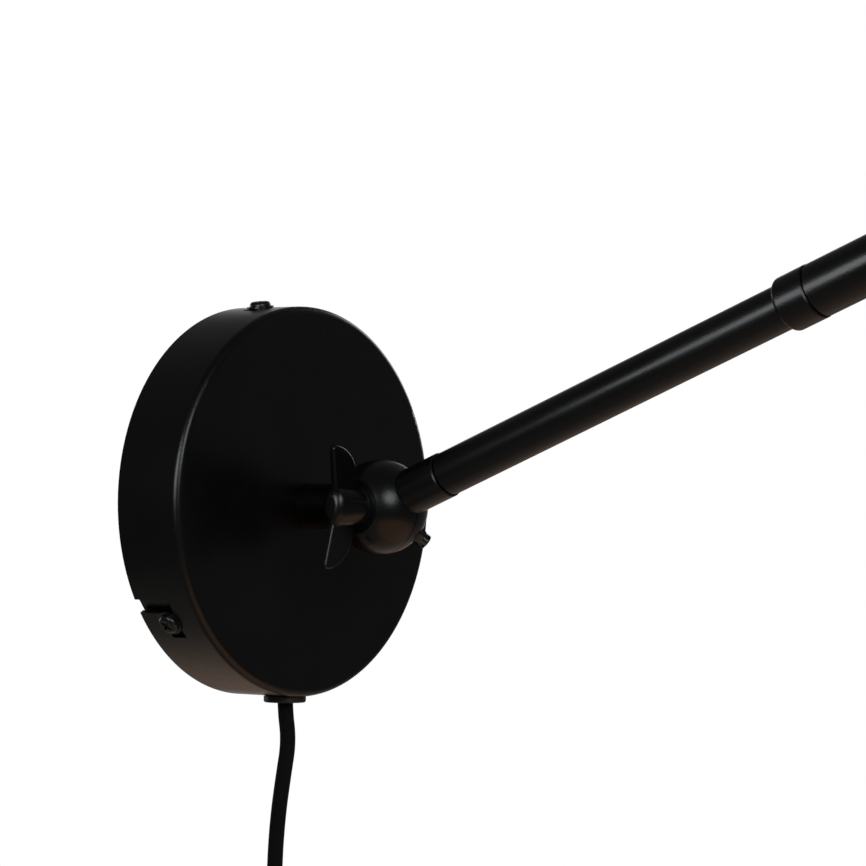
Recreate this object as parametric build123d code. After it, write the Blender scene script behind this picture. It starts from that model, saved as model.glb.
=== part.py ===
from build123d import *
import math
import os

# Wall lamp, in millimetres. The wall is the plane y = 0 and the lamp stands out from it
# towards -Y, with +X to the right and +Z up. The origin is the centre of the canopy's back.

# Fits shared by all pieces
FIT = 0.02
RUNNING = 0.05
FACE_GAP = 0.15
GAP = 0.3

# Canopy and what holds it to the wall
CANOPY_RADIUS = 62.5
CANOPY_DEPTH = 25.0
CANOPY_SHEET = 1.5
CANOPY_EDGE = 2.3
SLOT_ANGLES = (92.0, 212.0, 332.0)
SLOT_TURN = 5.4
SLOT_SPARE = 3.6
SLOT_WIDTH = 4.9
SLOT_DEPTH = 11.4
SLOT_LEG_WIDTH = 5.6
SCREW_DEPTH = 10.9
SCREW_RADIUS = 2.0
SCREW_LENGTH = 8.0
SCREW_HEAD_RADIUS = 3.4
SCREW_HEAD_HEIGHT = 1.6
WASHER_RADIUS = 4.3
WASHER_SHEET = 0.5
BRACKET_SHEET = 2.0
BRACKET_RADIUS = 40.0
BRACKET_ARM_WIDTH = 14.0
BRACKET_TAB_RISE = 6.0
BRACKET_WIRE_HOLE = 14.0
WALL_SLOT_SPACING = 60.0
WALL_SLOT_LENGTH = 10.0
WALL_SLOT_RADIUS = 2.4

# Supply terminal on the bracket
TERMINAL_SIZE = (30.0, 16.0, 12.0)
TERMINAL_HEIGHT = 28.0
TERMINAL_PITCH = 9.0
TERMINAL_ROW = 9.0
TERMINAL_SCREW_RADIUS = 1.6
TERMINAL_SCREW_LENGTH = 7.0
TERMINAL_HEAD_RADIUS = 2.4

# Cord and its grip in the canopy's rim
CORD_RADIUS = 2.5
GRIP_DISTANCE = 15.8
GRIP_FLANGE_RADIUS = 6.8
GRIP_FLANGE = 2.0
GRIP_SHANK_RADIUS = 4.2
GRIP_SHANK_LENGTH = 8.5
GRIP_NUT_RADIUS = 6.4
GRIP_NUT = 3.0

# Swivel stem, a little below the canopy's middle
STEM_LOWER = 1.4
NIPPLE_RADIUS = 5.0
NIPPLE_BORE = 3.5
NIPPLE_IN_STEM = 12.0
NIPPLE_TAIL = 2.5
STEM_RADIUS = 7.2
STEM_WASHER_RADIUS = 9.0
LOCK_WASHER = 1.0
LOCK_NUT_RADIUS = 8.1
LOCK_NUT = 3.2

# Ball knuckle, used at both ends of the arm
KNUCKLE_RADIUS = 15.0
KNUCKLE_SEAM = 0.3
KNUCKLE_DISTANCE = 54.8
COLLAR_RADIUS = 7.3
COLLAR_END = 28.4
WIRE_RADIUS = 3.0
CHAMBER_RADIUS = 10.5
CHAMBER_DEPTH = 7.0
BOSS_RADIUS = 5.6
FRICTION_WASHER = 1.0
STUD_RADIUS = 3.0
STUD_REACH = 10.5
STUD_HOLE_CLEARANCE = 0.2

# Wing screw
WING_SEAT = 12.4
WING_WASHER_RADIUS = 6.4
WING_WASHER = 0.8
WING_HUB_RADIUS = 5.8
WING_HUB_LENGTH = 9.6
WING_CAP_LONG = 6.3
WING_CAP_SHORT = 4.0
WING_CAP_DOME = 1.9
WING_SPAN_RADIUS = 19.6
WING_FLARE = 3.4
WING_PLATE = 2.2
WING_ROUND = 0.6
WING_CORNER = 1.2
WING_STUD_GRIP = 7.0
BASE_WING_TURN = 4.6
HEAD_WING_TURN = -30.0

# Stop screw with a nut under its head, on the outer half of a knuckle, in the frame of that half's neck
STOP_OUT = 0.625
STOP_ACROSS = 0.741
STOP_ALONG = 0.246
STOP_SEAT = 14.6
STOP_RADIUS = 1.5
STOP_HEAD_RADIUS = 2.45
STOP_START = 11.6
STOP_END = 18.8
STOP_NUT_RADIUS = 2.7
STOP_NUT = 1.9
BASE_STOP_SIDE = -1
HEAD_STOP_SIDE = 1

# Two-stage arm, as distances along it from the centre of the lower ball
ARM_TILT = 21.65
JOINT_LINE = 0.8
INNER_TUBE_RADIUS = 6.95
INNER_TUBE_WALL = 1.0
INNER_TUBE_END = 300.0
SPIGOT_LENGTH = 18.0
BUSH_LENGTH = 8.0
BUSH_BORE = 4.0
OUTER_TUBE_RADIUS = 8.35
OUTER_TUBE_WALL = 0.7
UPPER_COLLAR_START = 164.0
UPPER_COLLAR_LENGTH = 11.2
UPPER_COLLAR_RADIUS = 8.5
UPPER_COLLAR_ROUND = 2.0
COLLAR_SPIGOT_LENGTH = 12.0
FRICTION_RING_WALL = 0.7
FRICTION_RING_LENGTH = 6.0
FRICTION_RING_INSET = 2.6
OUTER_TUBE_END = 450.0
HEAD_NECK_LENGTH = 8.0

# Lampholder, bulb and shade, as distances down from the centre of the upper ball
LAMP_NECK_END = 27.0
LAMP_NIPPLE_IN_NECK = 11.0
HOLDER_RADIUS = 19.0
HOLDER_WALL = 1.8
HOLDER_CAP_HEIGHT = 20.0
HOLDER_CAP_ROUND = 5.0
HOLDER_SPIGOT = 4.0
HOLDER_SHOULDER = 2.0
HOLDER_FLANGE_RADIUS = 23.0
HOLDER_FLANGE = 2.5
HOLDER_THREAD_RADIUS = 18.0
HOLDER_THREAD_LENGTH = 28.0
SOCKET_BORE = 15.5
INSERT_HEIGHT = 10.0
SHELL_BORE = 13.6
SHELL_WALL = 0.6
SHELL_LENGTH = 21.0
CONTACT_RADIUS = 4.0
CONTACT_HEIGHT = 2.0
BULB_BASE_RADIUS = 13.3
BULB_BASE_LENGTH = 25.0
BULB_TIP_RADIUS = 4.5
BULB_TIP = 1.5
BULB_NECK_RADIUS = 12.6
BULB_RADIUS = 30.0
BULB_LENGTH = 66.0
BULB_WALL = 1.0
SHADE_SHEET = 1.2
SHADE_CROWN_RADIUS = 30.0
SHADE_MOUTH_RADIUS = 80.0
SHADE_DEPTH = 114.0
SHADE_RING_RADIUS = 22.5
SHADE_RING_HEIGHT = 5.3
KNOB_SHAFT_RADIUS = 2.0
KNOB_RADIUS = 5.5
KNOB_LENGTH = 11.0
KNOB_DEPTH = 13.0
KNOB_ROUND = 1.0

# Cord route seen from the front, (x, z), all of it at the grip's distance from the wall
CORD_POINTS = (
    (0.0, -55.5), (0.0, -66.0), (2.2, -77.0), (-0.3, -88.0), (-2.6, -99.5), (-4.0, -112.0),
    (-4.4, -126.0), (-4.4, -139.5), (-4.2, -152.5), (-4.2, -164.0),
)
# Put-away length: a flat coil in two layers below the route's end, its tail and its plug
COIL_TURNS = 9.0
COIL_INNER_RADIUS = 13.4
COIL_PITCH = 5.45
COIL_LAYER_STEP = 5.7
TIE_WIDTH = 8.0
TIE_SHEET = 1.4
TIE_ROOM = 0.7
TAIL_DROPS = (12.0, 14.0, 12.0)
TAIL_SHIFT = 1.6
PLUG_LENGTH = 34.0
PLUG_WIDTH = 26.0
PLUG_THICKNESS = 13.6
PLUG_NOSE = 14.0
PLUG_NOSE_RADIUS = 4.6
PLUG_ROUND = 2.5
PIN_RADIUS = 2.0
PIN_LENGTH = 19.0
PIN_ROOT = 8.0
PIN_SPACING = 18.6

UP = (Align.CENTER, Align.CENTER, Align.MIN)
FAR = 200.0


# Sizes that follow from the driving ones
arm_direction = Vector(0, -math.cos(math.radians(ARM_TILT)), math.sin(math.radians(ARM_TILT)))
base_centre = Vector(0, -KNUCKLE_DISTANCE, -STEM_LOWER)
tube_start = COLLAR_END + JOINT_LINE
inner_tube_bore = INNER_TUBE_RADIUS - INNER_TUBE_WALL
outer_tube_bore = OUTER_TUBE_RADIUS - OUTER_TUBE_WALL
collar_bore = INNER_TUBE_RADIUS + RUNNING
outer_tube_start = UPPER_COLLAR_START + UPPER_COLLAR_LENGTH + JOINT_LINE
head_distance = OUTER_TUBE_END + COLLAR_END
head_centre = base_centre + arm_direction * head_distance
canopy_bore = CANOPY_RADIUS - CANOPY_SHEET
canopy_floor = CANOPY_DEPTH - CANOPY_SHEET
stem_end = KNUCKLE_DISTANCE - CANOPY_DEPTH - FACE_GAP
wing_base = WING_SEAT + WING_WASHER + FACE_GAP
wing_high = wing_base + WING_HUB_LENGTH
boss_drop = FRICTION_WASHER / 2 + FACE_GAP
tab_distance = math.sqrt((canopy_bore - GAP) ** 2 - (BRACKET_ARM_WIDTH / 2) ** 2)
washer_seat = CANOPY_RADIUS + FIT

# Frames: wall (z out of the wall), swivel, stem and arm necks of the lower ball, necks of the upper ball
wall_frame = Plane(origin=(0, 0, 0), x_dir=(1, 0, 0), z_dir=(0, -1, 0)).location
swivel_frame = wall_frame * Pos(0, -STEM_LOWER, 0)
stem_frame = Plane(origin=base_centre, x_dir=(1, 0, 0), z_dir=(0, 1, 0)).location
arm_frame = Plane(origin=base_centre, x_dir=(1, 0, 0), z_dir=arm_direction).location
head_arm_frame = Plane(origin=head_centre, x_dir=(1, 0, 0), z_dir=arm_direction * -1).location
lamp_frame = Plane(origin=head_centre, x_dir=(1, 0, 0), z_dir=(0, 0, -1)).location


def disc(radius, low, high):
    """Cylinder on the Z axis between two heights."""
    return Pos(0, 0, low) * Cylinder(radius, high - low, align=UP)


def ring(outer, inner, low, high):
    """Tube on the Z axis between two heights."""
    return disc(outer, low, high) - disc(inner, low, high)


def hexagon(corner_radius, bore, low, high):
    """Hexagonal nut on the Z axis between two heights."""
    blank = extrude(Pos(0, 0, low) * RegularPolygon(corner_radius, 6), amount=high - low)
    return blank - disc(bore, low, high)


def along_x(shape, side):
    """Turn a shape made along +Z so that it runs along +X or -X."""
    return Rot(0, 90 * side, 0) * shape


def radial(angle, height):
    """Frame on the rim whose z runs outwards at an angle, for shapes in the wall frame."""
    direction = (math.cos(math.radians(angle)), math.sin(math.radians(angle)), 0)
    return Plane(origin=(0, 0, height), x_dir=(0, 0, 1), z_dir=direction).location


def save(name, shape):
    export_step(shape, os.path.join("parts", name + ".step"))


def save_group(name, pieces):
    save(name, Compound(children=pieces))


# Canopy, bracket and fasteners

def bayonet_outline():
    """L-shaped slot: a mouth from the wall edge, then a leg round the rim to a little past the screw."""
    reach = CANOPY_RADIUS * math.sin(math.radians(SLOT_TURN + SLOT_SPARE)) + SLOT_WIDTH / 2
    mouth = Rectangle(2 * SLOT_DEPTH + SLOT_LEG_WIDTH, SLOT_WIDTH)
    return mouth + Pos(SLOT_DEPTH, -reach / 2) * Rectangle(SLOT_LEG_WIDTH, reach)


def canopy():
    cup = disc(CANOPY_RADIUS, 0, CANOPY_DEPTH)
    cup = fillet(cup.edges().sort_by(Axis.Z)[-1], CANOPY_EDGE)
    hollow = disc(canopy_bore, 0, canopy_floor)
    hollow = fillet(hollow.edges().sort_by(Axis.Z)[-1], CANOPY_EDGE - CANOPY_SHEET)
    cup -= hollow
    cup -= Pos(0, -STEM_LOWER, 0) * disc(NIPPLE_RADIUS + RUNNING, 0, CANOPY_DEPTH)
    cut_low = canopy_bore - CANOPY_SHEET
    cut_high = CANOPY_RADIUS + CANOPY_SHEET
    slot = extrude(Pos(0, 0, cut_low) * bayonet_outline(), amount=cut_high - cut_low)
    for angle in SLOT_ANGLES:
        cup -= radial(angle, 0) * slot
    cup -= radial(270, GRIP_DISTANCE) * disc(GRIP_SHANK_RADIUS + FIT, cut_low, cut_high)
    return cup


def screw_angles():
    return [angle + SLOT_TURN for angle in SLOT_ANGLES]


def wall_bracket():
    plate = disc(BRACKET_RADIUS, 0, BRACKET_SHEET)
    tab_height = SCREW_DEPTH + BRACKET_TAB_RISE
    for angle in screw_angles():
        arm = Box(tab_distance, BRACKET_ARM_WIDTH, BRACKET_SHEET, align=(Align.MIN, Align.CENTER, Align.MIN))
        plate += Rot(0, 0, angle) * arm
        tab = Box(BRACKET_SHEET, BRACKET_ARM_WIDTH, tab_height, align=(Align.MAX, Align.CENTER, Align.MIN))
        plate += Rot(0, 0, angle) * Pos(tab_distance, 0, 0) * tab
    for angle in screw_angles():
        hole = disc(SCREW_RADIUS + FIT, tab_distance - 2 * BRACKET_SHEET, tab_distance + BRACKET_SHEET)
        plate -= radial(angle, SCREW_DEPTH) * hole
    plate -= disc(BRACKET_WIRE_HOLE, 0, BRACKET_SHEET)
    for side in (-1, 1):
        slot = SlotOverall(WALL_SLOT_LENGTH, 2 * WALL_SLOT_RADIUS)
        plate -= Pos(side * WALL_SLOT_SPACING / 2, 0, 0) * extrude(slot, amount=BRACKET_SHEET)
    plate -= Pos(0, TERMINAL_HEIGHT, 0) * disc(TERMINAL_SCREW_RADIUS + FIT, 0, BRACKET_SHEET)
    return plate


def pan_screw(seat):
    """Cross-recessed pan head screw, its head resting at the seat height."""
    head = disc(SCREW_HEAD_RADIUS, seat, seat + SCREW_HEAD_HEIGHT)
    head = fillet(head.edges().sort_by(Axis.Z)[-1], SCREW_HEAD_HEIGHT * 0.8)
    slot = Box(SCREW_HEAD_RADIUS * 1.1, SCREW_HEAD_RADIUS / 4, SCREW_HEAD_HEIGHT / 2, align=UP)
    for turn in (45, 135):
        head -= Pos(0, 0, seat + SCREW_HEAD_HEIGHT / 2) * Rot(0, 0, turn) * slot
    return head + disc(SCREW_RADIUS, seat - SCREW_LENGTH, seat)


def canopy_screws():
    seat = washer_seat + WASHER_SHEET
    return [radial(angle, SCREW_DEPTH) * pan_screw(seat) for angle in screw_angles()]


def canopy_washers():
    washer = ring(WASHER_RADIUS, SCREW_RADIUS + FIT, washer_seat, washer_seat + WASHER_SHEET)
    return [radial(angle, SCREW_DEPTH) * washer for angle in screw_angles()]


def terminal_places():
    columns = [TERMINAL_PITCH * (index - 1) for index in range(3)]
    return [(x, TERMINAL_HEIGHT + side * TERMINAL_ROW / 2) for x in columns for side in (-1, 1)]


def terminal_block():
    width, height, depth = TERMINAL_SIZE
    top = BRACKET_SHEET + depth
    block = Pos(0, TERMINAL_HEIGHT, BRACKET_SHEET) * Box(width, height, depth, align=UP)
    for x, y in terminal_places():
        block -= Pos(x, y, 0) * disc(TERMINAL_SCREW_RADIUS + FIT, top - TERMINAL_SCREW_LENGTH, top)
    block -= Pos(0, TERMINAL_HEIGHT, 0) * disc(TERMINAL_SCREW_RADIUS + FIT, BRACKET_SHEET, top)
    return block


def terminal_screws():
    top = BRACKET_SHEET + TERMINAL_SIZE[2]
    low = top - TERMINAL_SCREW_LENGTH + FIT
    return [Pos(x, y, 0) * disc(TERMINAL_SCREW_RADIUS, low, top - 1) for x, y in terminal_places()]


def terminal_block_screw():
    top = BRACKET_SHEET + TERMINAL_SIZE[2]
    shank = disc(TERMINAL_SCREW_RADIUS, 0, top)
    return Pos(0, TERMINAL_HEIGHT, 0) * (shank + disc(TERMINAL_HEAD_RADIUS, top, top + TERMINAL_SCREW_RADIUS))


def cord_grip():
    seat = washer_seat
    grip = disc(GRIP_FLANGE_RADIUS, seat, seat + GRIP_FLANGE)
    grip = fillet(grip.edges().sort_by(Axis.Z)[-1], GRIP_FLANGE / 3)
    grip += disc(GRIP_SHANK_RADIUS, seat - GRIP_SHANK_LENGTH, seat)
    bore = disc(CORD_RADIUS + FACE_GAP, seat - GRIP_SHANK_LENGTH, seat + GRIP_FLANGE)
    return radial(270, GRIP_DISTANCE) * (grip - bore)


def cord_grip_nut():
    seat = math.sqrt(canopy_bore ** 2 - GRIP_NUT_RADIUS ** 2) - FIT
    nut = hexagon(GRIP_NUT_RADIUS, GRIP_SHANK_RADIUS + FIT, seat - GRIP_NUT, seat)
    return radial(270, GRIP_DISTANCE) * nut


# Swivel stem

def stem_nipple():
    low = canopy_floor - FACE_GAP - LOCK_WASHER - LOCK_NUT - NIPPLE_TAIL
    return ring(NIPPLE_RADIUS, NIPPLE_BORE, low, CANOPY_DEPTH + FACE_GAP + NIPPLE_IN_STEM)


def stem_washer():
    top = canopy_floor - FACE_GAP
    return ring(STEM_WASHER_RADIUS, NIPPLE_RADIUS + FIT, top - LOCK_WASHER, top)


def stem_lock_nut():
    top = canopy_floor - FACE_GAP - LOCK_WASHER
    return hexagon(LOCK_NUT_RADIUS, NIPPLE_RADIUS + FIT, top - LOCK_NUT, top)


# Ball knuckle

def knuckle_half(side, neck, neck_radius, wire_end):
    """Half ball on one side of the split, with its whole neck along +Z and its wire chamber."""
    own_side = Pos(side * (KNUCKLE_SEAM + FAR) / 2, 0, 0) * Box(FAR, FAR, FAR)
    root = disc(neck_radius, 0, KNUCKLE_RADIUS)
    half = (Sphere(KNUCKLE_RADIUS) + root) & own_side
    half += neck - Sphere(KNUCKLE_RADIUS + GAP)
    chamber = ring(CHAMBER_RADIUS, BOSS_RADIUS, 0, CHAMBER_DEPTH) + disc(BOSS_RADIUS, 0, boss_drop)
    half -= along_x(chamber, side)
    return half - disc(WIRE_RADIUS, BOSS_RADIUS, wire_end)


def wing_side_half(neck, neck_radius, wire_end):
    """Half that the wing screw passes through, with a flat under the screw's washer."""
    half = knuckle_half(-1, neck, neck_radius, wire_end)
    half -= Pos(-WING_SEAT - FAR / 2, 0, 0) * Box(FAR, FAR, FAR)
    return half - along_x(disc(STUD_RADIUS + STUD_HOLE_CLEARANCE, 0, KNUCKLE_RADIUS), -1)


def stop_frame(side):
    """Frame of the stop screw, on one side or the other of the plane of neck and hinge."""
    direction = Vector(STOP_OUT, side * STOP_ACROSS, STOP_ALONG)
    return Plane(origin=(0, 0, 0), z_dir=direction).location


def threaded_half(neck, neck_radius, wire_end, stop_side):
    """Half that the wing screw's stud threads into, with a seat for the stop screw's nut."""
    half = knuckle_half(1, neck, neck_radius, wire_end)
    half -= along_x(disc(STUD_RADIUS + RUNNING, 0, STUD_REACH + GAP), 1)
    half -= stop_frame(stop_side) * disc(STOP_NUT_RADIUS * 1.5, STOP_SEAT, STOP_END)
    return half - stop_frame(stop_side) * disc(STOP_RADIUS + FIT, STOP_START - GAP, STOP_END)


def stop_screw(side):
    """Screw with a cross cut right across its head, which bears on the nut."""
    seat = STOP_SEAT + STOP_NUT + FIT
    head = disc(STOP_HEAD_RADIUS, seat, STOP_END)
    head = fillet(head.edges().sort_by(Axis.Z)[-1], STOP_RADIUS / 3)
    cut = Box(3 * STOP_HEAD_RADIUS, STOP_RADIUS / 2, STOP_END - seat, align=UP)
    for turn in (0, 90):
        head -= Pos(0, 0, (seat + STOP_END) / 2) * Rot(0, 0, turn) * cut
    return stop_frame(side) * (head + disc(STOP_RADIUS, STOP_START, seat))


def stop_nut(side):
    nut = hexagon(STOP_NUT_RADIUS, STOP_RADIUS + FIT, STOP_SEAT, STOP_SEAT + STOP_NUT)
    return stop_frame(side) * nut


def friction_washer():
    half = FRICTION_WASHER / 2
    return along_x(ring(BOSS_RADIUS, STUD_RADIUS + STUD_HOLE_CLEARANCE, -half, half), 1)


def wing_washer():
    hole = STUD_RADIUS + STUD_HOLE_CLEARANCE
    return along_x(ring(WING_WASHER_RADIUS, hole, WING_SEAT, WING_SEAT + WING_WASHER), -1)


def wing_ears():
    """Both ears as one plate in the XZ plane, with Z along the screw's axis."""
    low = wing_base + GAP
    valley = wing_high + WING_CAP_DOME / 4
    shoulder = WING_SPAN_RADIUS * 0.4
    tip = (WING_SPAN_RADIUS * 0.98, wing_high + WING_FLARE)
    dip = (WING_CAP_SHORT, valley)
    edges = [
        Line((0, low), (shoulder, low)),
        TangentArc((shoulder, low), tip, tangent=(1, 0)),
        Line(tip, dip),
        Line(dip, (0, valley)),
        Line((0, valley), (0, low)),
    ]
    half = make_face(edges)
    outline = half + mirror(half, Plane.YZ)
    outline = fillet(outline.vertices().sort_by(Axis.Y)[-4:], WING_CORNER)
    plate = extrude(Plane.XZ * outline, amount=WING_PLATE / 2, both=True)
    sides = plate.faces().sort_by(Axis.Y)
    return fillet(sides[0].edges() + sides[-1].edges(), WING_ROUND)


def wing_oval(share, height):
    """Oval section of the hub, its long side along the ears."""
    return Pos(0, 0, height) * Rot(0, 0, 90) * Ellipse(WING_CAP_SHORT * share, WING_CAP_LONG * share)


def wing_head():
    """Hub, round at its foot and oval at its domed top, with an ear on each side."""
    foot = Pos(0, 0, wing_base) * Rot(0, 0, 90) * Circle(WING_HUB_RADIUS)
    hub = loft([foot, wing_oval(1, wing_high)])
    dome = ((1, 0), (0.82, 0.6), (0.4, 1))
    hub += loft([wing_oval(share, wing_high + WING_CAP_DOME * rise) for share, rise in dome])
    return hub + wing_ears() - disc(STUD_RADIUS + FIT, wing_base, wing_base + WING_STUD_GRIP)


def wing_stud():
    return along_x(disc(STUD_RADIUS, -STUD_REACH, wing_base + WING_STUD_GRIP), -1)


def wing_frame(centre, turn):
    """Frame of a wing screw's head: z away from the ball, x along its ears."""
    ears = Vector(0, -math.sin(math.radians(turn)), math.cos(math.radians(turn)))
    return Plane(origin=centre, x_dir=ears, z_dir=(-1, 0, 0)).location


# Arm

def base_arm_half():
    collar = disc(COLLAR_RADIUS, 0, COLLAR_END)
    collar = chamfer(collar.edges().sort_by(Axis.Z)[-1], JOINT_LINE / 2)
    collar += disc(inner_tube_bore - FIT, COLLAR_END, tube_start + SPIGOT_LENGTH)
    return threaded_half(collar, COLLAR_RADIUS, tube_start + SPIGOT_LENGTH, BASE_STOP_SIDE)


def stem_half():
    neck = disc(STEM_RADIUS, 0, stem_end)
    half = wing_side_half(neck, STEM_RADIUS, stem_end)
    return half - disc(NIPPLE_RADIUS + FIT, stem_end - NIPPLE_IN_STEM, stem_end)


def inner_arm_tube():
    return ring(INNER_TUBE_RADIUS, inner_tube_bore, tube_start, INNER_TUBE_END)


def arm_guide_bush():
    plug = disc(inner_tube_bore - FIT, INNER_TUBE_END - SPIGOT_LENGTH, INNER_TUBE_END)
    plug += disc(outer_tube_bore - RUNNING, INNER_TUBE_END, INNER_TUBE_END + BUSH_LENGTH)
    return plug - disc(BUSH_BORE, INNER_TUBE_END - SPIGOT_LENGTH, INNER_TUBE_END + BUSH_LENGTH)


def outer_arm_tube():
    return ring(OUTER_TUBE_RADIUS, outer_tube_bore, outer_tube_start, OUTER_TUBE_END - JOINT_LINE)


def arm_collar():
    end = UPPER_COLLAR_START + UPPER_COLLAR_LENGTH
    body = disc(UPPER_COLLAR_RADIUS, UPPER_COLLAR_START, end)
    body = chamfer(body.edges().sort_by(Axis.Z)[-1], JOINT_LINE / 2)
    front = body.edges().filter_by(GeomType.CIRCLE).sort_by(Axis.Z)[0]
    body = fillet(front, min(UPPER_COLLAR_ROUND, UPPER_COLLAR_RADIUS - collar_bore - FIT))
    body += disc(outer_tube_bore - FIT, end, outer_tube_start + COLLAR_SPIGOT_LENGTH)
    body -= disc(collar_bore, UPPER_COLLAR_START, outer_tube_start + COLLAR_SPIGOT_LENGTH)
    groove = UPPER_COLLAR_START + FRICTION_RING_INSET
    return body - disc(collar_bore + FRICTION_RING_WALL + FIT, groove, groove + FRICTION_RING_LENGTH + FIT)


def arm_friction_ring():
    low = UPPER_COLLAR_START + FRICTION_RING_INSET + FIT / 2
    return ring(collar_bore + FRICTION_RING_WALL, INNER_TUBE_RADIUS + FIT, low, low + FRICTION_RING_LENGTH)


def head_arm_half():
    neck = disc(COLLAR_RADIUS, 0, COLLAR_END)
    collar = disc(OUTER_TUBE_RADIUS, COLLAR_END - HEAD_NECK_LENGTH, COLLAR_END)
    neck += chamfer(collar.edges().filter_by(GeomType.CIRCLE), JOINT_LINE / 2)
    neck += disc(outer_tube_bore - FIT, COLLAR_END, COLLAR_END + SPIGOT_LENGTH)
    return wing_side_half(neck, COLLAR_RADIUS, COLLAR_END + SPIGOT_LENGTH)


# Lamp head, with z running down from the upper ball

cap_end = LAMP_NECK_END + HOLDER_CAP_HEIGHT
flange_low = cap_end + HOLDER_SHOULDER
shade_seat = flange_low + HOLDER_FLANGE
holder_end = shade_seat + HOLDER_THREAD_LENGTH
insert_low = cap_end - HOLDER_SPIGOT
insert_high = insert_low + INSERT_HEIGHT
contact_high = insert_high + CONTACT_HEIGHT
bulb_low = contact_high + FACE_GAP
bulb_shell_low = bulb_low + BULB_TIP
glass_low = bulb_shell_low + BULB_BASE_LENGTH
knob_height = LAMP_NECK_END + KNOB_DEPTH


def head_lamp_half():
    neck = disc(COLLAR_RADIUS, 0, LAMP_NECK_END)
    half = threaded_half(neck, COLLAR_RADIUS, LAMP_NECK_END, HEAD_STOP_SIDE)
    return half - disc(NIPPLE_RADIUS + FIT, LAMP_NECK_END - LAMP_NIPPLE_IN_NECK, LAMP_NECK_END)


def lamp_nipple():
    low = LAMP_NECK_END - LAMP_NIPPLE_IN_NECK
    return ring(NIPPLE_RADIUS, NIPPLE_BORE, low, LAMP_NECK_END + HOLDER_WALL + LOCK_NUT + NIPPLE_TAIL)


def lamp_nipple_nut():
    low = LAMP_NECK_END + HOLDER_WALL
    return hexagon(LOCK_NUT_RADIUS, NIPPLE_RADIUS + FIT, low, low + LOCK_NUT)


def knob_axis():
    """Frame of the switch knob: z points out of the cap's front."""
    return Plane(origin=(0, 0, knob_height), x_dir=(1, 0, 0), z_dir=(0, 1, 0)).location


def lampholder_cap():
    cap = disc(HOLDER_RADIUS, LAMP_NECK_END, cap_end)
    cap = fillet(cap.edges().filter_by(GeomType.CIRCLE).sort_by(Axis.Z)[0], HOLDER_CAP_ROUND)
    inside = disc(HOLDER_RADIUS - HOLDER_WALL, LAMP_NECK_END + HOLDER_WALL, cap_end)
    inside_edge = inside.edges().filter_by(GeomType.CIRCLE).sort_by(Axis.Z)[0]
    cap -= fillet(inside_edge, HOLDER_CAP_ROUND - HOLDER_WALL)
    cap -= disc(NIPPLE_RADIUS + FIT, LAMP_NECK_END, cap_end)
    return cap - knob_axis() * disc(KNOB_SHAFT_RADIUS + RUNNING, 0, HOLDER_RADIUS + GAP)


def lampholder_body():
    body = disc(HOLDER_RADIUS - HOLDER_WALL - FIT, insert_low, cap_end)
    body += disc(HOLDER_RADIUS, cap_end, flange_low)
    body += disc(HOLDER_FLANGE_RADIUS, flange_low, shade_seat)
    body += disc(HOLDER_THREAD_RADIUS, shade_seat, holder_end)
    return body - disc(SOCKET_BORE, insert_low, holder_end)


def socket_insert():
    return disc(SOCKET_BORE - FIT, insert_low, insert_high)


def socket_shell():
    return ring(SHELL_BORE + SHELL_WALL, SHELL_BORE, insert_high, insert_high + SHELL_LENGTH)


def centre_contact():
    return disc(CONTACT_RADIUS, insert_high, contact_high)


def bulb_base():
    tip = disc(BULB_TIP_RADIUS, bulb_low, bulb_shell_low)
    return tip + disc(BULB_BASE_RADIUS, bulb_shell_low, glass_low)


def bulb_form(neck, radius, low, high):
    """Round bulb: a neck that widens into a ball, turned about Z."""
    centre = high - radius
    shoulder = centre - radius * 0.6
    waist = (radius * 0.8, shoulder)
    edges = [
        Line((0, low), (neck, low)),
        Spline((neck, low), waist, tangents=((0, 1), (0.6, 0.8))),
        ThreePointArc(waist, (radius, centre), (0, high)),
        Line((0, high), (0, low)),
    ]
    return revolve(Plane.XZ * make_face(edges), Axis.Z)


def bulb_glass():
    high = glass_low + BULB_LENGTH
    outer = bulb_form(BULB_NECK_RADIUS, BULB_RADIUS, glass_low, high)
    inner_neck = BULB_NECK_RADIUS - BULB_WALL
    inner_radius = BULB_RADIUS - BULB_WALL
    return outer - bulb_form(inner_neck, inner_radius, glass_low, high - BULB_WALL)


def shade():
    top = shade_seat
    under = top + SHADE_SHEET
    mouth = top + SHADE_DEPTH
    hole = HOLDER_THREAD_RADIUS + FIT
    crown = (SHADE_CROWN_RADIUS, top)
    inner_crown = (SHADE_CROWN_RADIUS - SHADE_SHEET / 3, under)
    rim = (SHADE_MOUTH_RADIUS, mouth)
    inner_rim = (SHADE_MOUTH_RADIUS - SHADE_SHEET, mouth)
    edges = [
        Line((hole, top), crown),
        TangentArc(rim, crown, tangent=(0, -1)),
        Line(rim, inner_rim),
        TangentArc(inner_rim, inner_crown, tangent=(0, -1)),
        Line(inner_crown, (hole, under)),
        Line((hole, under), (hole, top)),
    ]
    return revolve(Plane.XZ * make_face(edges), Axis.Z)


def shade_ring():
    low = shade_seat + SHADE_SHEET
    blank = ring(SHADE_RING_RADIUS, HOLDER_THREAD_RADIUS + FIT, low, low + SHADE_RING_HEIGHT)
    return chamfer(blank.edges().filter_by(GeomType.CIRCLE).sort_by(Axis.Z)[-1], SHADE_SHEET / 2)


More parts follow.
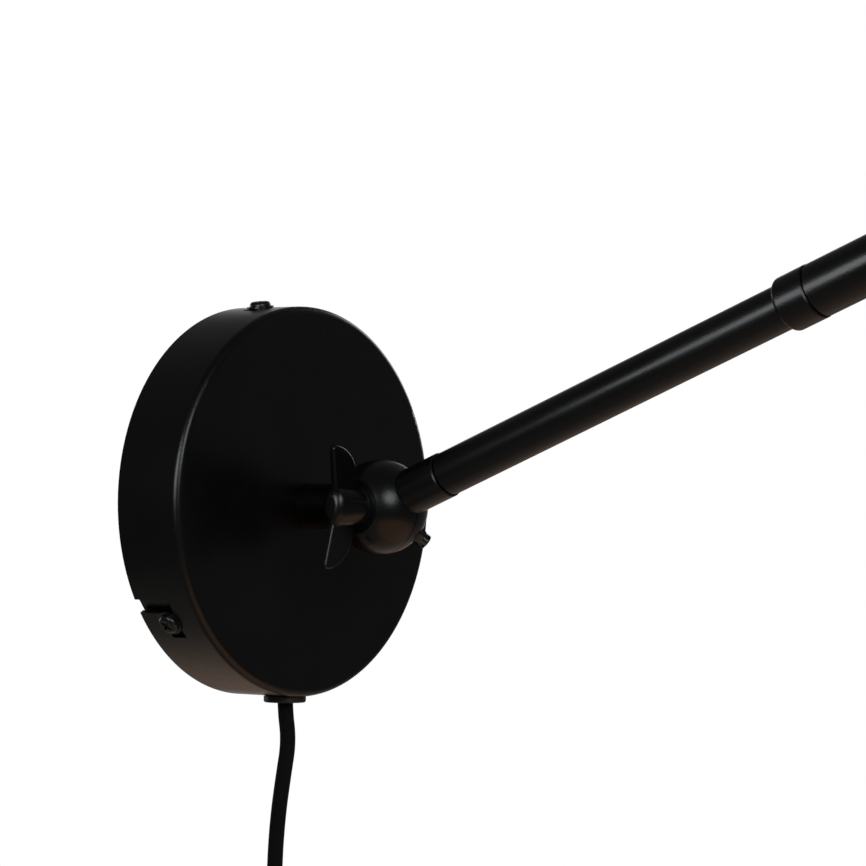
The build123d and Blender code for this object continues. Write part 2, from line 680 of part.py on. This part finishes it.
def switch_knob():
    seat = HOLDER_RADIUS + GAP
    knob = disc(KNOB_RADIUS, seat, seat + KNOB_LENGTH)
    knob = fillet(knob.edges().filter_by(GeomType.CIRCLE).sort_by(Axis.Z)[-1], KNOB_ROUND)
    for turn in range(0, 360, 30):
        flute = disc(KNOB_ROUND, seat, seat + KNOB_LENGTH)
        knob -= Rot(0, 0, turn) * Pos(KNOB_RADIUS + KNOB_ROUND / 2, 0, 0) * flute
    inner = HOLDER_RADIUS - HOLDER_WALL - KNOB_SHAFT_RADIUS
    return knob_axis() * (knob + disc(KNOB_SHAFT_RADIUS, inner, seat))


# Cord, coil, tail and plug

def cord_tube(name, points):
    """Round tube along straight runs joined by the largest arcs that they allow."""
    runs = [points[i + 1] - points[i] for i in range(len(points) - 1)]
    radii = []
    for before, after in zip(runs, runs[1:]):
        half_turn = math.radians(before.get_angle(after)) / 2
        radii.append(0.45 * min(before.length, after.length) / math.tan(half_turn))
    path = FilletPolyline(*points, radius=radii)
    tube = sweep(Plane(origin=path @ 0, z_dir=path % 0) * Circle(CORD_RADIUS), path=path)
    expected = math.pi * CORD_RADIUS ** 2 * path.length
    print(name, "radii", [round(radius, 1) for radius in radii])
    print(name, "length", round(path.length, 1), "volume share", round(tube.volume / expected, 4))
    return tube


def on_wall(points):
    """Route points seen from the front, set at the grip's distance from the wall."""
    return [Vector(x, -GRIP_DISTANCE, z) for x, z in points]


coil_outer_radius = COIL_INNER_RADIUS + COIL_PITCH * COIL_TURNS / 2
coil_start = Vector(CORD_POINTS[-1][0], -GRIP_DISTANCE, CORD_POINTS[-1][1] - 2 * CORD_RADIUS)
coil_centre = coil_start - Vector(coil_outer_radius, 0, 0)


def coil_place(turn):
    """Point and direction of the coil's centre line, with turns counted from its middle."""
    angle = 2 * math.pi * (turn + COIL_TURNS / 2)
    radius = COIL_INNER_RADIUS + COIL_PITCH * abs(turn)
    share = min(max(2 * turn + 0.5, 0), 1)
    depth = COIL_LAYER_STEP * share ** 2 * (3 - 2 * share)
    rise = 2 * COIL_LAYER_STEP * 6 * share * (1 - share)
    slope = 0
    if 0 < abs(turn) < COIL_TURNS / 2:
        slope = math.copysign(COIL_PITCH, turn)
    out = Vector(math.cos(angle), 0, -math.sin(angle))
    around = Vector(-math.sin(angle), 0, -math.cos(angle))
    point = coil_centre + out * radius + Vector(0, depth, 0)
    direction = around * (2 * math.pi * radius) + out * slope + Vector(0, rise, 0)
    return point, direction.normalized()


def biarc(start, leave, end, arrive):
    """Two arcs, tangent to each other, from one point and direction to another."""
    span = end - start
    both = leave + arrive
    fold = 2 * (1 - leave.dot(arrive))
    reach = (math.sqrt(span.dot(both) ** 2 + fold * span.dot(span)) - span.dot(both)) / fold
    middle = (start + leave * reach + end - arrive * reach) * 0.5
    first = TangentArc(start, middle, tangent=leave)
    return [first, TangentArc(middle, end, tangent=first % 1)]


def coil_path():
    quarters = round(COIL_TURNS * 4)
    places = [coil_place(index / 4 - COIL_TURNS / 2) for index in range(quarters + 1)]
    drop = Vector(0, 0, -2 * CORD_RADIUS)
    edges = [Line(places[0][0] - drop, places[0][0])]
    for (start, leave), (end, arrive) in zip(places, places[1:]):
        edges += biarc(start, leave, end, arrive)
    edges.append(Line(places[-1][0], places[-1][0] + drop))
    return Wire(edges)


def least_gap(path):
    """Smallest distance between the coil's neighbouring turns, less the cord's own thickness."""
    count = round(path.length / CORD_RADIUS)
    points = [path @ (index / count) for index in range(count + 1)]
    apart = 8
    pairs = ((a, b) for i, a in enumerate(points) for b in points[i + apart:])
    return min((a - b).length for a, b in pairs) - 2 * CORD_RADIUS


def cord_coil():
    path = coil_path()
    coil = sweep(Plane(origin=path @ 0, z_dir=path % 0) * Circle(CORD_RADIUS), path=path)
    expected = math.pi * CORD_RADIUS ** 2 * path.length
    print("coil length", round(path.length, 1), "volume share", round(coil.volume / expected, 4))
    print("coil least gap", round(least_gap(path), 2))
    return coil


def cord_tie():
    """Strap round all the turns, on the coil's far side from the cord."""
    inner = COIL_INNER_RADIUS - CORD_RADIUS - TIE_ROOM - TIE_WIDTH ** 2 / (8 * COIL_INNER_RADIUS)
    outer = coil_outer_radius - COIL_PITCH / 2 + CORD_RADIUS + TIE_ROOM
    back = COIL_LAYER_STEP + CORD_RADIUS + TIE_ROOM
    front = -CORD_RADIUS - TIE_ROOM
    size = (outer - inner, back - front, TIE_WIDTH)
    centre = coil_centre + Vector(-(inner + outer) / 2, (front + back) / 2, 0)
    strap = Box(size[0] + 2 * TIE_SHEET, size[1] + 2 * TIE_SHEET, TIE_WIDTH)
    strap = fillet(strap.edges().filter_by(Axis.Z), TIE_SHEET + TIE_ROOM)
    return Pos(*centre) * (strap - fillet(Box(*size).edges().filter_by(Axis.Z), TIE_ROOM))


def tail_points():
    start = coil_start + Vector(0, COIL_LAYER_STEP, -2 * CORD_RADIUS)
    first, second, third = TAIL_DROPS
    bend = start - Vector(0, 0, first)
    shifted = bend + Vector(TAIL_SHIFT, 0, -second)
    return [start, bend, shifted, shifted - Vector(0, 0, third)]


def plug_frame():
    """Frame at the plug's cord end, with z running down along it."""
    return Plane(origin=tail_points()[-1], x_dir=(1, 0, 0), z_dir=(0, 0, -1)).location


def plug_body():
    nose = disc(PLUG_NOSE_RADIUS, 0, PLUG_NOSE)
    nose = fillet(nose.edges().filter_by(GeomType.CIRCLE).sort_by(Axis.Z)[0], CORD_RADIUS / 2)
    block = Pos(0, 0, PLUG_NOSE) * Box(PLUG_WIDTH, PLUG_THICKNESS, PLUG_LENGTH, align=UP)
    body = nose + fillet(block.edges(), PLUG_ROUND)
    face = PLUG_NOSE + PLUG_LENGTH
    for side in (-1, 1):
        hole = disc(PIN_RADIUS + FIT, face - PIN_ROOT, face)
        body -= Pos(side * PIN_SPACING / 2, 0, 0) * hole
    return plug_frame() * body


def plug_pins():
    face = PLUG_NOSE + PLUG_LENGTH
    pin = disc(PIN_RADIUS, face - PIN_ROOT, face + PIN_LENGTH)
    pin = fillet(pin.edges().filter_by(GeomType.CIRCLE).sort_by(Axis.Z)[-1], PIN_RADIUS / 2)
    return [plug_frame() * Pos(side * PIN_SPACING / 2, 0, 0) * pin for side in (-1, 1)]


def main():
    os.makedirs("parts", exist_ok=True)

    # On the wall
    save("wall_bracket", wall_frame * wall_bracket())
    save("canopy", wall_frame * canopy())
    save_group("canopy_screws", [wall_frame * piece for piece in canopy_screws()])
    save_group("canopy_washers", [wall_frame * piece for piece in canopy_washers()])
    save("terminal_block", wall_frame * terminal_block())
    save_group("terminal_screws", [wall_frame * piece for piece in terminal_screws()])
    save("terminal_block_screw", wall_frame * terminal_block_screw())
    save("cord_grip", wall_frame * cord_grip())
    save("cord_grip_nut", wall_frame * cord_grip_nut())
    save("power_cord", cord_tube("cord", on_wall(CORD_POINTS)))
    save("cord_coil", cord_coil())
    save("cord_tie", cord_tie())
    save("cord_tail", cord_tube("tail", tail_points()))
    save("plug_body", plug_body())
    save_group("plug_pins", plug_pins())

    # Turning with the stem
    save("stem_nipple", swivel_frame * stem_nipple())
    save("stem_washer", swivel_frame * stem_washer())
    save("stem_lock_nut", swivel_frame * stem_lock_nut())
    save("base_knuckle_stem_half", stem_frame * stem_half())
    save("base_wing_washer", stem_frame * wing_washer())

    # Tilting with the arm
    save("base_knuckle_arm_half", arm_frame * base_arm_half())
    save("base_friction_washer", arm_frame * friction_washer())
    save("base_stop_screw", arm_frame * stop_screw(BASE_STOP_SIDE))
    save("base_stop_nut", arm_frame * stop_nut(BASE_STOP_SIDE))
    save("base_wing_head", wing_frame(base_centre, BASE_WING_TURN) * wing_head())
    save("base_wing_stud", arm_frame * wing_stud())
    save("inner_arm_tube", arm_frame * inner_arm_tube())
    save("arm_guide_bush", arm_frame * arm_guide_bush())

    # Sliding along the inner tube
    save("outer_arm_tube", arm_frame * outer_arm_tube())
    save("arm_collar", arm_frame * arm_collar())
    save("arm_friction_ring", arm_frame * arm_friction_ring())
    save("head_knuckle_arm_half", head_arm_frame * head_arm_half())
    save("head_wing_washer", head_arm_frame * wing_washer())

    # Tilting with the lamp head
    save("head_knuckle_lamp_half", lamp_frame * head_lamp_half())
    save("head_friction_washer", lamp_frame * friction_washer())
    save("head_stop_screw", lamp_frame * stop_screw(HEAD_STOP_SIDE))
    save("head_stop_nut", lamp_frame * stop_nut(HEAD_STOP_SIDE))
    save("head_wing_head", wing_frame(head_centre, HEAD_WING_TURN) * wing_head())
    save("head_wing_stud", lamp_frame * wing_stud())
    save("lamp_nipple", lamp_frame * lamp_nipple())
    save("lamp_nipple_nut", lamp_frame * lamp_nipple_nut())
    save("lampholder_cap", lamp_frame * lampholder_cap())
    save("lampholder_body", lamp_frame * lampholder_body())
    save("socket_insert", lamp_frame * socket_insert())
    save("socket_shell", lamp_frame * socket_shell())
    save("centre_contact", lamp_frame * centre_contact())
    save("bulb_base", lamp_frame * bulb_base())
    save("bulb_glass", lamp_frame * bulb_glass())
    save("shade", lamp_frame * shade())
    save("shade_ring", lamp_frame * shade_ring())
    save("switch_knob", lamp_frame * switch_knob())


main()
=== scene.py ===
import math

import bmesh
import bpy
from mathutils import Matrix, Quaternion, Vector


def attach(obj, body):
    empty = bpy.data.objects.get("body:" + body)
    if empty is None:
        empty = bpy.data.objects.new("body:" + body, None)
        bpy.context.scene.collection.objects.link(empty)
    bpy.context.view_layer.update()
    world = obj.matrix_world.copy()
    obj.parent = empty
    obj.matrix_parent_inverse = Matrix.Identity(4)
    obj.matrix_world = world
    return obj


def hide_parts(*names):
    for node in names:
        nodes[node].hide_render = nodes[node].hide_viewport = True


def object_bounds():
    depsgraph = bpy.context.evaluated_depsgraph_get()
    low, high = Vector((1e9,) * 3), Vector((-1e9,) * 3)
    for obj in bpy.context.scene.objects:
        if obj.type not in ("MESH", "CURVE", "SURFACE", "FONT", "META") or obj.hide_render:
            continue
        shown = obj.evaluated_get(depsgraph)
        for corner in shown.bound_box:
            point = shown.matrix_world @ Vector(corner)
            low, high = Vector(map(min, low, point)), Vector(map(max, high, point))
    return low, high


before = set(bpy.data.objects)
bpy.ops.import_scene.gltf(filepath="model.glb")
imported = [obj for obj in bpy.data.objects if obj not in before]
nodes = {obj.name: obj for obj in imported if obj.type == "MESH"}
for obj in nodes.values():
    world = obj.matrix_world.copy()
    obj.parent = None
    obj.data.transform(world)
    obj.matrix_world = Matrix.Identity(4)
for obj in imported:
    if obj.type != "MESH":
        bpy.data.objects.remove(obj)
cad_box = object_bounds()
scene = bpy.context.scene

# Camera fitted to the photograph, which is square
FRAME_PIXELS = 866
FOCAL_PIXELS = 4000.0
SENSOR_WIDTH = 36.0
AZIMUTH = math.radians(-51.55)
ELEVATION = math.radians(-0.70)
ROLL = math.radians(0.51)
SHIFT_RIGHT = -0.05943
SHIFT_UP = -0.02198
DISTANCE = 1.2958
CLIP_NEAR = 0.05
CLIP_FAR = 60.0


def photo_axes():
    """Right, up and back of the camera that took the photograph."""
    flat = math.cos(ELEVATION)
    back = Vector((math.sin(AZIMUTH) * flat, -math.cos(AZIMUTH) * flat, math.sin(ELEVATION)))
    level = Vector((math.cos(AZIMUTH), math.sin(AZIMUTH), 0))
    upright = back.cross(level)
    right = level * math.cos(ROLL) + upright * math.sin(ROLL)
    up = upright * math.cos(ROLL) - level * math.sin(ROLL)
    return right, up, back


def add_camera():
    right, up, back = photo_axes()
    data = bpy.data.cameras.new("camera")
    data.sensor_width = SENSOR_WIDTH
    data.lens = SENSOR_WIDTH * FOCAL_PIXELS / FRAME_PIXELS
    data.clip_start = CLIP_NEAR
    data.clip_end = CLIP_FAR
    camera = bpy.data.objects.new("camera", data)
    scene.collection.objects.link(camera)
    place = Matrix((right, up, back)).transposed().to_4x4()
    place.translation = back * DISTANCE - right * SHIFT_RIGHT - up * SHIFT_UP
    camera.matrix_world = place
    scene.camera = camera


# Cord: route, coil and tail on one smooth line
CORD_RADIUS = 0.0025
CORD_SIDES = 20
CORD_OUT = -0.0158
CORD_ROUTE = (
    (0.0, -0.0555), (0.0, -0.066), (0.0022, -0.077), (-0.0003, -0.088), (-0.0026, -0.0995),
    (-0.004, -0.112), (-0.0044, -0.126), (-0.0044, -0.1395), (-0.0042, -0.1525), (-0.0042, -0.164),
)
COIL_TURNS = 9.0
COIL_INNER_RADIUS = 0.0134
COIL_PITCH = 0.00545
COIL_LAYER_STEP = 0.0057
COIL_CROSSING_TURNS = 0.5
COIL_POINTS_A_TURN = 24
TAIL_DROPS = (0.012, 0.014, 0.012)
TAIL_SHIFT = 0.0016
LINE_ORDER = 3
LINE_STEPS = 8


def coil_point(turn, centre):
    """Point of a coil that winds in to turn 0 in one layer and out again in the next."""
    angle = 2 * math.pi * (turn + COIL_TURNS / 2)
    radius = COIL_INNER_RADIUS + COIL_PITCH * abs(turn)
    share = min(max(turn / COIL_CROSSING_TURNS + 0.5, 0), 1)
    depth = COIL_LAYER_STEP * share ** 2 * (3 - 2 * share)
    return centre + Vector((math.cos(angle) * radius, depth, -math.sin(angle) * radius))


def cord_points():
    points = [Vector((x, CORD_OUT, z)) for x, z in CORD_ROUTE]
    start = points[-1] - Vector((0, 0, 2 * CORD_RADIUS))
    outer = COIL_INNER_RADIUS + COIL_PITCH * COIL_TURNS / 2
    centre = start - Vector((outer, 0, 0))
    count = round(COIL_TURNS * COIL_POINTS_A_TURN)
    turns = [index / COIL_POINTS_A_TURN - COIL_TURNS / 2 for index in range(count + 1)]
    points += [coil_point(turn, centre) for turn in turns]
    end = start + Vector((0, COIL_LAYER_STEP, -2 * CORD_RADIUS))
    first, second, third = TAIL_DROPS
    bend = end - Vector((0, 0, first))
    shifted = bend + Vector((TAIL_SHIFT, 0, -second))
    return points + [end, bend, shifted, shifted - Vector((0, 0, third))]


def smooth_line(points):
    """Points along the NURBS line that has these control points."""
    data = bpy.data.curves.new("cord_line", "CURVE")
    data.dimensions = "3D"
    data.resolution_u = LINE_STEPS
    spline = data.splines.new("NURBS")
    spline.points.add(len(points) - 1)
    for point, place in zip(spline.points, points):
        point.co = (*place, 1)
    spline.order_u = LINE_ORDER
    spline.use_endpoint_u = True
    line = bpy.data.objects.new("cord_line", data)
    scene.collection.objects.link(line)
    bpy.context.view_layer.update()
    mesh = bpy.data.meshes.new_from_object(line.evaluated_get(bpy.context.evaluated_depsgraph_get()))
    path = [vertex.co.copy() for vertex in mesh.vertices]
    bpy.data.objects.remove(line)
    bpy.data.curves.remove(data)
    bpy.data.meshes.remove(mesh)
    return path


def tube(name, path, radius, sides):
    """Tube along a path, with the share of a turn in u and the length in metres in v."""
    mesh = bpy.data.meshes.new(name)
    form = bmesh.new()
    layer = form.loops.layers.uv.new("UVMap")
    turns = [2 * math.pi * step / sides for step in range(sides)]
    side = Vector((1, 0, 0))
    rings, lengths, run = [], [], 0.0
    for index, point in enumerate(path):
        ahead = (path[min(index + 1, len(path) - 1)] - path[max(index - 1, 0)]).normalized()
        side = (side - ahead * side.dot(ahead)).normalized()
        other = ahead.cross(side)
        run += (point - path[index - 1]).length if index else 0.0
        spokes = [side * math.cos(turn) + other * math.sin(turn) for turn in turns]
        rings.append([form.verts.new(point + spoke * radius) for spoke in spokes])
        lengths.append(run)
    for index in range(len(rings) - 1):
        ring, following = rings[index], rings[index + 1]
        along = (lengths[index], lengths[index], lengths[index + 1], lengths[index + 1])
        for step in range(sides):
            after = (step + 1) % sides
            face = form.faces.new((ring[step], ring[after], following[after], following[step]))
            face.smooth = True
            across = (step, step + 1, step + 1, step)
            for loop, u, v in zip(face.loops, across, along):
                loop[layer].uv = (u / sides, v)
    form.faces.new(list(reversed(rings[0])))
    form.faces.new(rings[-1])
    form.to_mesh(mesh)
    form.free()
    piece = bpy.data.objects.new(name, mesh)
    scene.collection.objects.link(piece)
    return piece


add_camera()
cord_path = smooth_line(cord_points())
cord = tube("textile_cord", cord_path, CORD_RADIUS, CORD_SIDES)
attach(cord, "wall")
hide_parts("power_cord", "cord_coil", "cord_tail")


# Materials

class Finish:
    """Node material with a Principled shader and helpers to link textures to it."""

    def __init__(self, name):
        self.material = bpy.data.materials.new(name)
        self.material.use_nodes = True
        self.tree = self.material.node_tree
        self.shader = self.tree.nodes["Principled BSDF"]
        self.coords = self.tree.nodes.new("ShaderNodeTexCoord")

    def link(self, start, end):
        self.tree.links.new(start, end)

    def set(self, **values):
        for name, value in values.items():
            self.shader.inputs[name.replace("_", " ")].default_value = value

    def noise(self, scale, detail=3.0):
        node = self.tree.nodes.new("ShaderNodeTexNoise")
        node.inputs["Scale"].default_value = scale
        node.inputs["Detail"].default_value = detail
        self.link(self.coords.outputs["Object"], node.inputs["Vector"])
        return node.outputs["Fac"]

    def ramp(self, factor, low, high, start=0.3, end=0.7):
        node = self.tree.nodes.new("ShaderNodeValToRGB")
        first, last = node.color_ramp.elements
        first.position, first.color = start, (*low, 1)
        last.position, last.color = end, (*high, 1)
        self.link(factor, node.inputs["Fac"])
        return node.outputs["Color"]

    def span(self, factor, low, high, start=0.3, end=0.7):
        node = self.tree.nodes.new("ShaderNodeMapRange")
        for name, value in (("From Min", start), ("From Max", end), ("To Min", low), ("To Max", high)):
            node.inputs[name].default_value = value
        self.link(factor, node.inputs["Value"])
        return node.outputs["Result"]

    def maths(self, operation, first, second=0.0):
        node = self.tree.nodes.new("ShaderNodeMath")
        node.operation = operation
        for socket, value in zip(node.inputs, (first, second)):
            if isinstance(value, (int, float)):
                socket.default_value = value
            else:
                self.link(value, socket)
        return node.outputs["Value"]

    def colour(self, output):
        self.link(output, self.shader.inputs["Base Color"])

    def rough(self, output):
        self.link(output, self.shader.inputs["Roughness"])

    def bump(self, height, distance, strength):
        node = self.tree.nodes.new("ShaderNodeBump")
        node.inputs["Distance"].default_value = distance
        node.inputs["Strength"].default_value = strength
        self.link(height, node.inputs["Height"])
        self.link(node.outputs["Normal"], self.shader.inputs["Normal"])


def grey(value):
    return (value, value, value)


def powder_coat(name, low, high, rough, specular):
    """Fine powder coat: a slight orange peel, small changes of tone and gloss."""
    finish = Finish(name)
    finish.set(Specular_IOR_Level=specular)
    finish.colour(finish.ramp(finish.noise(scale=60), low, high))
    finish.rough(finish.span(finish.noise(scale=35), *rough))
    finish.bump(finish.noise(scale=1400, detail=2.0), distance=0.00006, strength=0.5)
    return finish.material


def plated_metal(name, low, high, rough):
    """Bare or plated metal with fine marks."""
    finish = Finish(name)
    finish.set(Metallic=1.0)
    finish.colour(finish.ramp(finish.noise(scale=180), low, high))
    finish.rough(finish.span(finish.noise(scale=420), *rough))
    finish.bump(finish.noise(scale=2600, detail=2.0), distance=0.00003, strength=0.4)
    return finish.material


def moulded(name, low, high, rough, specular):
    """Moulded surface with a fine grain."""
    finish = Finish(name)
    finish.set(Specular_IOR_Level=specular)
    finish.colour(finish.ramp(finish.noise(scale=90), low, high))
    finish.rough(finish.span(finish.noise(scale=300), *rough))
    finish.bump(finish.noise(scale=3200), distance=0.00005, strength=0.6)
    return finish.material


def braid(name):
    """Braided textile sleeve: strands crossing in two directions round the cord, with painted shade
    darkening the grooves between the strands.
    """
    strands_around = 8
    waves_a_metre = 560
    fuzz_share = 0.5
    finish = Finish(name)
    parts = finish.tree.nodes.new("ShaderNodeSeparateXYZ")
    finish.link(finish.coords.outputs["UV"], parts.inputs["Vector"])
    around = finish.maths("MULTIPLY", parts.outputs["X"], 2 * math.pi * strands_around)
    along = finish.maths("MULTIPLY", parts.outputs["Y"], 2 * math.pi * waves_a_metre)
    left = finish.maths("SINE", finish.maths("ADD", around, along))
    right = finish.maths("SINE", finish.maths("SUBTRACT", around, along))
    strands = finish.maths("ABSOLUTE", finish.maths("MULTIPLY", left, right))
    fuzz = finish.noise(scale=5200, detail=2.0)
    height = finish.maths("ADD", strands, finish.maths("MULTIPLY", fuzz, fuzz_share))
    # The colour follows the strand height, so the grooves between strands get painted shade
    finish.colour(finish.ramp(height, grey(0.0006), grey(0.005), start=0.2, end=1.0))
    finish.rough(finish.span(fuzz, 0.75, 0.95))
    finish.set(Specular_IOR_Level=0.06)
    finish.bump(height, distance=0.0002, strength=0.8)
    return finish.material


def frosted_glass(name):
    finish = Finish(name)
    finish.set(Transmission_Weight=0.85, IOR=1.46)
    finish.colour(finish.ramp(finish.noise(scale=40), (0.93, 0.91, 0.86), (0.97, 0.95, 0.91)))
    finish.rough(finish.span(finish.noise(scale=500), 0.42, 0.55))
    return finish.material


def dress(material, *names):
    for name in names:
        slots = nodes[name].data.materials
        slots.clear()
        slots.append(material)


dress(
    powder_coat("black_powder_coat", grey(0.0012), grey(0.002), rough=(0.26, 0.32), specular=0.15),
    "canopy", "wall_bracket", "base_knuckle_stem_half", "base_knuckle_arm_half", "base_wing_head",
    "inner_arm_tube", "outer_arm_tube", "arm_collar", "head_knuckle_arm_half",
    "head_knuckle_lamp_half", "head_wing_head", "lampholder_cap", "shade",
)
dress(
    powder_coat("blackened_steel", grey(0.002), grey(0.004), rough=(0.24, 0.32), specular=0.2),
    "canopy_screws", "canopy_washers", "base_wing_washer", "head_wing_washer",
)
dress(
    plated_metal("zinc_plate", grey(0.46), grey(0.62), rough=(0.28, 0.42)),
    "terminal_block_screw", "stem_nipple", "stem_washer", "stem_lock_nut", "base_wing_stud",
    "head_wing_stud", "lamp_nipple", "lamp_nipple_nut", "plug_pins",
)
dress(
    plated_metal("bare_brass", (0.50, 0.36, 0.17), (0.66, 0.49, 0.25), rough=(0.25, 0.38)),
    "terminal_screws", "socket_shell", "centre_contact",
)
dress(
    plated_metal("black_nickel", grey(0.025), grey(0.05), rough=(0.14, 0.22)),
    "base_stop_screw", "base_stop_nut", "head_stop_screw", "head_stop_nut",
)
dress(plated_metal("plain_aluminium", grey(0.68), grey(0.80), rough=(0.22, 0.34)), "bulb_base")
dress(
    moulded("black_moulding", grey(0.004), grey(0.007), rough=(0.45, 0.6), specular=0.2),
    "cord_grip", "cord_grip_nut", "cord_tie", "plug_body", "lampholder_body", "shade_ring",
    "switch_knob",
)
dress(
    moulded("natural_nylon", (0.72, 0.72, 0.68), (0.82, 0.82, 0.79), rough=(0.4, 0.55), specular=0.4),
    "terminal_block", "base_friction_washer", "head_friction_washer", "arm_guide_bush",
    "arm_friction_ring",
)
dress(
    moulded("glazed_ceramic", (0.80, 0.79, 0.75), (0.88, 0.87, 0.84), rough=(0.12, 0.2), specular=0.5),
    "socket_insert",
)
dress(frosted_glass("frosted_glass"), "bulb_glass")
cord.data.materials.append(braid("braided_textile"))


# Floor, light and background
FLOOR_RADIUS = 1.5
FLOOR_SIDES = 128
FLOOR_OUT = -0.25
FLOOR_DROP = 0.5
LOWER_BALL = (0, -0.055, 0)
UPPER_TUBE = (0, -0.365, 0.12)
SOFT_BOX_DISTANCE = 1.6
SOFT_BOX_SIZE = (0.8, 0.8)
FILL_COLOUR = (0.97, 0.99, 1.0)
ROOM_COLOUR = (0.15, 0.15, 0.155, 1)
BACKDROP_COLOUR = (1, 1, 1, 1)
BACKDROP_RISE = 0.06
BACKDROP_EDGE = 0.91


def add_floor():
    mesh = bpy.data.meshes.new("floor")
    form = bmesh.new()
    bmesh.ops.create_circle(form, cap_ends=True, radius=FLOOR_RADIUS, segments=FLOOR_SIDES)
    form.to_mesh(mesh)
    form.free()
    floor = bpy.data.objects.new("floor", mesh)
    scene.collection.objects.link(floor)
    floor.location = (0, FLOOR_OUT, cad_box[0].z - FLOOR_DROP)
    finish = Finish("pale_floor")
    finish.set(Specular_IOR_Level=0.1)
    finish.colour(finish.ramp(finish.noise(scale=6), (0.79, 0.74, 0.67), (0.81, 0.76, 0.69)))
    finish.rough(finish.span(finish.noise(scale=20), 0.85, 0.95))
    mesh.materials.append(finish.material)


def add_light(name, direction, distance, size, radiance, colour, target=LOWER_BALL, roll=0.0):
    """Soft box that faces the target, placed in the photograph's own right, up and back."""
    data = bpy.data.lights.new(name, "AREA")
    data.shape = "ELLIPSE"
    data.size, data.size_y = size
    data.energy = radiance * math.pi * math.pi * size[0] * size[1] / 4
    data.color = colour
    light = bpy.data.objects.new(name, data)
    scene.collection.objects.link(light)
    light.visible_camera = False
    way = sum((axis * part for axis, part in zip(photo_axes(), direction)), Vector()).normalized()
    light.location = Vector(target) + way * distance
    turn = Quaternion((0, 0, 1), math.radians(roll))
    light.rotation_euler = (way.to_track_quat("Z", "Y") @ turn).to_euler()
    return light


def add_soft_box(name, direction, radiance, colour):
    add_light(name, direction, SOFT_BOX_DISTANCE, SOFT_BOX_SIZE, radiance, colour)


def add_gloss_panel(name, direction, **values):
    """Near panel that only gloss shows."""
    panel = add_light(name, direction, **values)
    panel.visible_diffuse = False


def add_background():
    """Dim room that lights the lamp, and a white backdrop for the camera, glass and gloss."""
    world = bpy.data.worlds.new("studio")
    scene.world = world
    world.use_nodes = True
    tree = world.node_tree

    def combine(operation, first, second):
        node = tree.nodes.new("ShaderNodeMath")
        node.operation = operation
        tree.links.new(first, node.inputs[0])
        tree.links.new(second, node.inputs[1])
        return node.outputs["Value"]

    rays = tree.nodes.new("ShaderNodeLightPath").outputs
    seen = combine("MAXIMUM", rays["Is Camera Ray"], rays["Is Transmission Ray"])
    # Gloss shows the backdrop only behind the lamp
    _, up, back = photo_axes()
    coords = tree.nodes.new("ShaderNodeTexCoord")
    facing = tree.nodes.new("ShaderNodeVectorMath")
    facing.operation = "DOT_PRODUCT"
    facing.inputs[1].default_value = tuple((up * BACKDROP_RISE - back).normalized())
    tree.links.new(coords.outputs["Generated"], facing.inputs[0])
    behind = tree.nodes.new("ShaderNodeMapRange")
    behind.interpolation_type = "SMOOTHSTEP"
    behind.inputs["From Min"].default_value = BACKDROP_EDGE
    behind.inputs["From Max"].default_value = 1.0
    tree.links.new(facing.outputs["Value"], behind.inputs["Value"])
    gloss = combine("MULTIPLY", rays["Is Glossy Ray"], behind.outputs["Result"])
    mix = tree.nodes.new("ShaderNodeMix")
    mix.data_type = "RGBA"
    # The mix node repeats its socket names, so its colour sockets go by number
    factor, room, backdrop = (mix.inputs[index] for index in (0, 6, 7))
    room.default_value = ROOM_COLOUR
    backdrop.default_value = BACKDROP_COLOUR
    tree.links.new(combine("MAXIMUM", seen, gloss), factor)
    tree.links.new(mix.outputs[2], tree.nodes["Background"].inputs["Color"])


add_floor()
add_soft_box("key", (0.384, 0.384, 0.843), radiance=11.5, colour=(0.93, 0.98, 1.0))
add_soft_box("side", (0.55, 0.3, -0.78), radiance=3.0, colour=FILL_COLOUR)
add_soft_box("rear", (-0.75, 0.05, -0.66), radiance=2.5, colour=FILL_COLOUR)
add_gloss_panel(
    "strip", (-0.967, -0.044, 0.244), distance=0.4, size=(0.34, 0.13), radiance=13.0,
    colour=(0.95, 0.98, 1.0), target=UPPER_TUBE, roll=23,
)
add_gloss_panel(
    "warm", (0.45, -0.78, 0.35), distance=0.65, size=(1.1, 0.64), radiance=1.0, colour=(1.0, 0.42, 0.13),
)
add_gloss_panel(
    "low", (0.0, -0.8, -0.5), distance=0.6, size=(0.8, 0.8), radiance=0.25, colour=(1.0, 0.46, 0.2),
)
add_background()
scene.view_settings.view_transform = "Standard"
